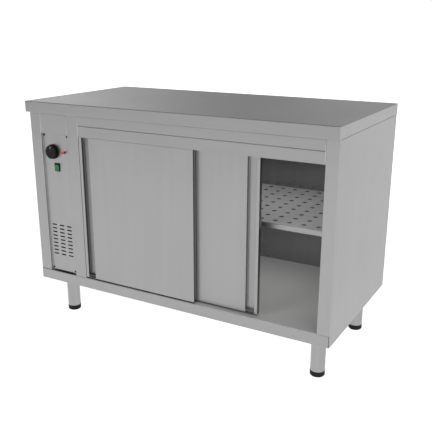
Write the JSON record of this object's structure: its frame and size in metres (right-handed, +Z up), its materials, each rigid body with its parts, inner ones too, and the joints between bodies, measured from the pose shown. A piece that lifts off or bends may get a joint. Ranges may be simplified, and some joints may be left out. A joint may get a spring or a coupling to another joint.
{
  "type": "plate warmer cabinet",
  "caption": "Insulated stainless steel plate warmer cupboard on legs, with a flat worktop, sliding doors, a perforated shelf and a control bay with a knob, a switch and vents.",
  "frame": {"origin": "on the floor under the middle of the worktop, the centre of the bounding box's bottom", "axes": "+X along the front, to the right; the doors face -Y; +Z up"},
  "size_m": [1.2, 0.6, 0.846],
  "materials": {
    "stainless": "brushed stainless steel sheet, grain along the sheet",
    "shelf_steel": "stainless steel sheet, perforated",
    "galvanised": "zinc-plated steel, inside the casing",
    "heater_sheath": "heat-tinted tube of the heating element",
    "board": "chipboard stiffener under the worktop sheet",
    "mineral_wool": "mineral wool slab",
    "black_plastic": "moulded black nylon",
    "knob_plastic": "moulded black phenolic",
    "white_nylon": "turned white nylon",
    "green_plastic": "translucent green rocker",
    "red_lens": "translucent red lens"
  },
  "bodies": {
    "cabinet": {"worktop": "stainless", "worktop_board": "board", "left_side_panel": "stainless", "right_side_panel": "stainless", "back_panel": "stainless", "base_tray": "stainless", "middle_post": "stainless", "header_rail": "stainless", "track_cover": "stainless", "bay_header": "stainless", "control_plate": "stainless", "control_plate_screws": "galvanised", "door_track": "galvanised", "track_stops": "black_plastic", "bottom_guide": "black_plastic", "inner_back_panel": "stainless", "inner_right_panel": "stainless", "partition": "stainless", "chamber_ceiling": "stainless", "back_insulation": "mineral_wool", "right_insulation": "mineral_wool", "top_insulation": "mineral_wool", "shelf": "shelf_steel", "shelf_supports": "stainless", "thermostat": "galvanised", "switch_housing": "black_plastic", "pilot_lamp_holder": "black_plastic", "pilot_lamp_lens": "red_lens", "air_duct": "galvanised", "fan_motor": "galvanised", "heater_element": "heater_sheath", "limit_thermostat": "black_plastic", "terminal_block": "white_nylon", "cable_gland": "black_plastic", "leg_front_left": "stainless", "leg_front_right": "stainless", "leg_rear_left": "stainless", "leg_rear_right": "stainless", "leg_inserts": "black_plastic"},
    "front_door": {"front_door_skin": "stainless", "front_door_liner": "stainless", "front_door_hangers": "galvanised"},
    "rear_door": {"rear_door_skin": "stainless", "rear_door_liner": "stainless", "rear_door_hangers": "galvanised"},
    "front_door_roller_left": {"front_door_roller_left": "white_nylon"},
    "front_door_roller_right": {"front_door_roller_right": "white_nylon"},
    "rear_door_roller_left": {"rear_door_roller_left": "white_nylon"},
    "rear_door_roller_right": {"rear_door_roller_right": "white_nylon"},
    "knob": {"knob": "knob_plastic", "thermostat_shaft": "galvanised"},
    "switch_rocker": {"switch_rocker": "green_plastic"},
    "fan_impeller": {"fan_impeller": "galvanised"},
    "foot_front_left": {"foot_front_left": "black_plastic"},
    "foot_front_right": {"foot_front_right": "black_plastic"},
    "foot_rear_left": {"foot_rear_left": "black_plastic"},
    "foot_rear_right": {"foot_rear_right": "black_plastic"}
  },
  "joints": [
    {"name": "front_door_slide", "type": "slide", "parent": "cabinet", "child": "front_door", "axis": [1, 0, 0], "range_m": [0, 0.4455]},
    {"name": "rear_door_slide", "type": "slide", "parent": "cabinet", "child": "rear_door", "axis": [1, 0, 0], "range_m": [-0.2305, 0.215]},
    {"name": "front_door_roller_left_spin", "type": "hinge", "parent": "front_door", "child": "front_door_roller_left", "pos_m": [-0.3315, -0.2795, 0.755], "axis": [0, 1, 0], "range_deg": [-5, 2560]},
    {"name": "front_door_roller_right_spin", "type": "hinge", "parent": "front_door", "child": "front_door_roller_right", "pos_m": [0.0785, -0.2795, 0.755], "axis": [0, 1, 0], "range_deg": [-5, 2560]},
    {"name": "rear_door_roller_left_spin", "type": "hinge", "parent": "rear_door", "child": "rear_door_roller_left", "pos_m": [-0.101, -0.2595, 0.755], "axis": [0, 1, 0], "range_deg": [-1325, 1240]},
    {"name": "rear_door_roller_right_spin", "type": "hinge", "parent": "rear_door", "child": "rear_door_roller_right", "pos_m": [0.309, -0.2595, 0.755], "axis": [0, 1, 0], "range_deg": [-1325, 1240]},
    {"name": "knob_turn", "type": "hinge", "parent": "cabinet", "child": "knob", "pos_m": [-0.49275, -0.284, 0.666], "axis": [0, 1, 0], "range_deg": [0, 270]},
    {"name": "switch_rock", "type": "hinge", "parent": "cabinet", "child": "switch_rocker", "pos_m": [-0.47675, -0.284, 0.609], "axis": [-1, 0, 0], "range_deg": [0, 20]},
    {"name": "fan_spin", "type": "hinge", "parent": "cabinet", "child": "fan_impeller", "pos_m": [-0.41, 0.02, 0.33], "axis": [1, 0, 0], "continuous": true},
    {"name": "foot_front_left_screw", "type": "slide", "parent": "cabinet", "child": "foot_front_left", "axis": [0, 0, -1], "range_m": [0, 0.03]},
    {"name": "foot_front_right_screw", "type": "slide", "parent": "cabinet", "child": "foot_front_right", "axis": [0, 0, -1], "range_m": [0, 0.03]},
    {"name": "foot_rear_left_screw", "type": "slide", "parent": "cabinet", "child": "foot_rear_left", "axis": [0, 0, -1], "range_m": [0, 0.03]},
    {"name": "foot_rear_right_screw", "type": "slide", "parent": "cabinet", "child": "foot_rear_right", "axis": [0, 0, -1], "range_m": [0, 0.03]}
  ],
  "couplings": [
    {"joint": "front_door_roller_left_spin", "follows": "front_door_slide", "rad_per_m": 100},
    {"joint": "front_door_roller_right_spin", "follows": "front_door_slide", "rad_per_m": 100},
    {"joint": "rear_door_roller_left_spin", "follows": "rear_door_slide", "rad_per_m": 100},
    {"joint": "rear_door_roller_right_spin", "follows": "rear_door_slide", "rad_per_m": 100}
  ]
}
